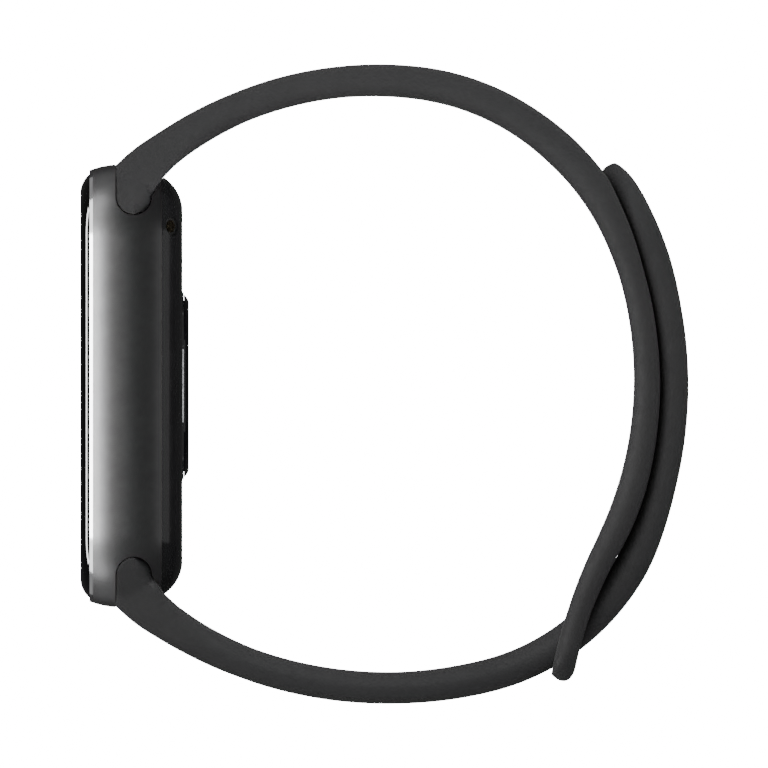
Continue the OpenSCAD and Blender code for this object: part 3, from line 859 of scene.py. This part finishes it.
def make_materials():
    finishes = [
        rubber(), satin_metal(), polished_trim(), board(), foil(), ribbon(),
        gloss("cover_glass", (0.0025, 0.0025, 0.003), 0.02, 0.05, 1.65, 0.0002),
        gloss("gloss_cover", (0.009, 0.009, 0.0095), 0.12, 0.2),
        gloss("window_plastic", (0.004, 0.004, 0.005), 0.03, 0.07),
        gloss("display", (0.01, 0.012, 0.018), 0.12, 0.2),
        gloss("sensor_film", (0.05, 0.06, 0.06), 0.1, 0.2),
        gloss("led", (0.7, 0.78, 0.5), 0.15, 0.3),
        moulded("adhesive", (0.03, 0.03, 0.03), 0.6, 0.75),
        moulded("backlight", (0.8, 0.8, 0.76), 0.3, 0.4),
        moulded("connector", (0.8, 0.76, 0.66)),
        moulded("seal_rubber", (0.35, 0.05, 0.04), 0.5, 0.62, 0.2),
        moulded("contact_seal", (0.018, 0.018, 0.018), 0.45, 0.6),
        moulded("chip", (0.03, 0.03, 0.032), 0.5, 0.62, 0.08),
        moulded("barrier", (0.02, 0.02, 0.02), 0.6, 0.75),
        moulded("core_plastic", (0.1, 0.1, 0.105), 0.4, 0.55, 0.3),
        metal("ring_plastic", (0.62, 0.63, 0.65), 0.1, 0.16, (1, 1, 1), 0.0004),
        metal("shield_steel", (0.62, 0.63, 0.64)),
        metal("contact_strip", (0.78, 0.68, 0.42), 0.25, 0.35),
        metal("motor_steel", (0.66, 0.67, 0.69), 0.2, 0.34, (1, 6, 6)),
        metal("magnet", (0.4, 0.4, 0.42), 0.18, 0.28, (1, 1, 1)),
        metal("rotor_metal", (0.5, 0.42, 0.27), 0.4, 0.55, (1, 1, 1), 0.006, 0.12),
        # The charging contacts' gold is darkened to about a third of bright gold: painted shade of
        # the recess they sit in.
        metal("contact_gold", (0.3, 0.25, 0.16), 0.14, 0.24, (1, 1, 1)),
        metal("spring_steel", (0.6, 0.61, 0.63), 0.2, 0.32),
        metal("clasp_metal", (0.5, 0.5, 0.52), 0.2, 0.32, (5, 5, 1)),
    ]
    return {f.name: f.material for f in finishes}


def dress_nodes(materials):
    """Gives every CAD node the finish of its material slot."""
    slots = {s["node"]: s["material_slot"] for s in frame["record"]["subparts"]}
    for name, obj in frame["nodes"].items():
        obj.data.materials.clear()
        obj.data.materials.append(materials[slots[name]])


def dress(obj, slot, materials):
    obj.data.materials.append(materials[slot])


# ---------- stage ----------

# Width of the camera's view and its middle, in millimetres
VIEW_W = 74.11
VIEW_X = -0.05
VIEW_Y = -0.02


def make_camera():
    """Straight above the loop, in a square view."""
    data = bpy.data.cameras.new("camera")
    data.type = "ORTHO"
    data.ortho_scale = VIEW_W * MM
    camera = bpy.data.objects.new("camera", data)
    camera.location = (VIEW_X * MM, VIEW_Y * MM, 0.4)
    bpy.context.scene.collection.objects.link(camera)
    bpy.context.scene.camera = camera


def make_floor():
    """A pale floor, which glows for the camera alone, so that it is white there. Mirroring
    surfaces don't show it."""
    half = 1.2
    mesh = bpy.data.meshes.new("floor")
    mesh.from_pydata([(-half, -half, 0), (half, -half, 0), (half, half, 0), (-half, half, 0)],
                     [], [(0, 1, 2, 3)])
    floor = bpy.data.objects.new("floor", mesh)
    bpy.context.scene.collection.objects.link(floor)
    material = bpy.data.materials.new("floor")
    material.use_nodes = True
    tree = material.node_tree
    shader = tree.nodes["Principled BSDF"]
    shader.inputs["Base Color"].default_value = (0.8, 0.8, 0.8, 1)
    shader.inputs["Roughness"].default_value = 0.9
    glow = tree.nodes.new("ShaderNodeEmission")
    glow.inputs["Color"].default_value = (1, 1, 1, 1)
    glow.inputs["Strength"].default_value = 17
    ray = tree.nodes.new("ShaderNodeLightPath")
    choose = tree.nodes.new("ShaderNodeMixShader")
    tree.links.new(ray.outputs["Is Camera Ray"], choose.inputs["Fac"])
    tree.links.new(shader.outputs["BSDF"], choose.inputs[1])
    tree.links.new(glow.outputs["Emission"], choose.inputs[2])
    tree.links.new(choose.outputs["Shader"], tree.nodes["Material Output"].inputs["Surface"])
    mesh.materials.append(material)
    floor.visible_glossy = False


def area_light(name, lights, at, size, power, aim=(0, 0, 0.01)):
    """A soft panel; lights says which see it, matt surfaces or mirroring ones."""
    data = bpy.data.lights.new(name, "AREA")
    data.shape = "RECTANGLE"
    data.size, data.size_y = size
    data.energy = power
    light = bpy.data.objects.new(name, data)
    light.location = at
    direction = Vector(aim) - Vector(at)
    light.rotation_euler = direction.to_track_quat("-Z", "Y").to_euler()
    light.visible_camera = False
    light.visible_diffuse = lights == "matt"
    light.visible_glossy = lights == "mirror"
    bpy.context.scene.collection.objects.link(light)


def make_lights():
    """A faint even world. For the matt surfaces a wide light overhead, a small one close above
    the loop, and low ones past three of its sides. For the mirroring ones the panels that the
    glass, the ends of the body, its far side and the sensor window show."""
    world = bpy.data.worlds.new("studio")
    world.use_nodes = True
    background = world.node_tree.nodes["Background"]
    background.inputs["Color"].default_value = (1, 1, 1, 1)
    background.inputs["Strength"].default_value = 0.05
    bpy.context.scene.world = world
    body = (-0.0255, 0, 0.0254)
    bead_x = -0.0194
    area_light("overhead", "matt", (0, 0, 0.5), (0.5, 0.5), 0.5)
    area_light("key", "matt", (-0.003, 0.01, 0.085), (0.04, 0.04), 0.046)
    area_light("rim", "matt", (0, 0.3, 0.04), (0.2, 0.06), 0.6)
    area_light("far_rim", "matt", (0.3, 0, 0.04), (0.2, 0.06), 0.3)
    area_light("near_fill", "matt", (-0.2, -0.3, 0.03), (0.3, 0.06), 0.5)
    area_light("screen_core", "mirror", (-0.145, 0, 0.125), (0.06, 0.1), 0.2, body)
    area_light("screen_wide", "mirror", (-0.145, 0, 0.125), (0.7, 0.1), 0.45, body)
    area_light("screen_low", "mirror", (-0.4, 0, -0.03), (0.4, 0.06), 2.0)
    for end in (-1, 1):
        area_light("end", "mirror", (-0.12, 0.3 * end, -0.04), (0.3, 0.3), 0.06)
    area_light("far_side", "mirror", (0.2, 0, 0.09), (0.1, 0.1), 0.017, body)
    area_light("bead", "mirror", (bead_x, 0, 0.2), (0.06, 0.006), 0.0022, (bead_x, 0, 0))


# ---------- scene ----------

materials = make_materials()
dress_nodes(materials)

upper = make_upper_strap()
dress(upper, "strap_rubber", materials)
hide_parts("upper_strap_end", "upper_strap_flex", "upper_strap")
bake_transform(upper)

lower = make_lower_strap()
dress(lower, "strap_rubber", materials)
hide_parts("lower_strap_end", "lower_strap_flex", "lower_strap")
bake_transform(lower)

tail = make_tail()
dress(tail, "strap_rubber", materials)
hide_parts("strap_tail")
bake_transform(tail)

cap = lathe("clasp_cap_turned", LOWER, STUD_D, -1, CAP_PROFILE)
dress(cap, "clasp_metal", materials)
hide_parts("clasp_cap")
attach(cap, "tail")
stud = lathe("clasp_stud_turned", LOWER, STUD_D, -1, STUD_PROFILE)
dress(stud, "clasp_metal", materials)
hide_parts("clasp_stud")
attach(stud, "tail")

make_floor()
make_lights()
make_camera()
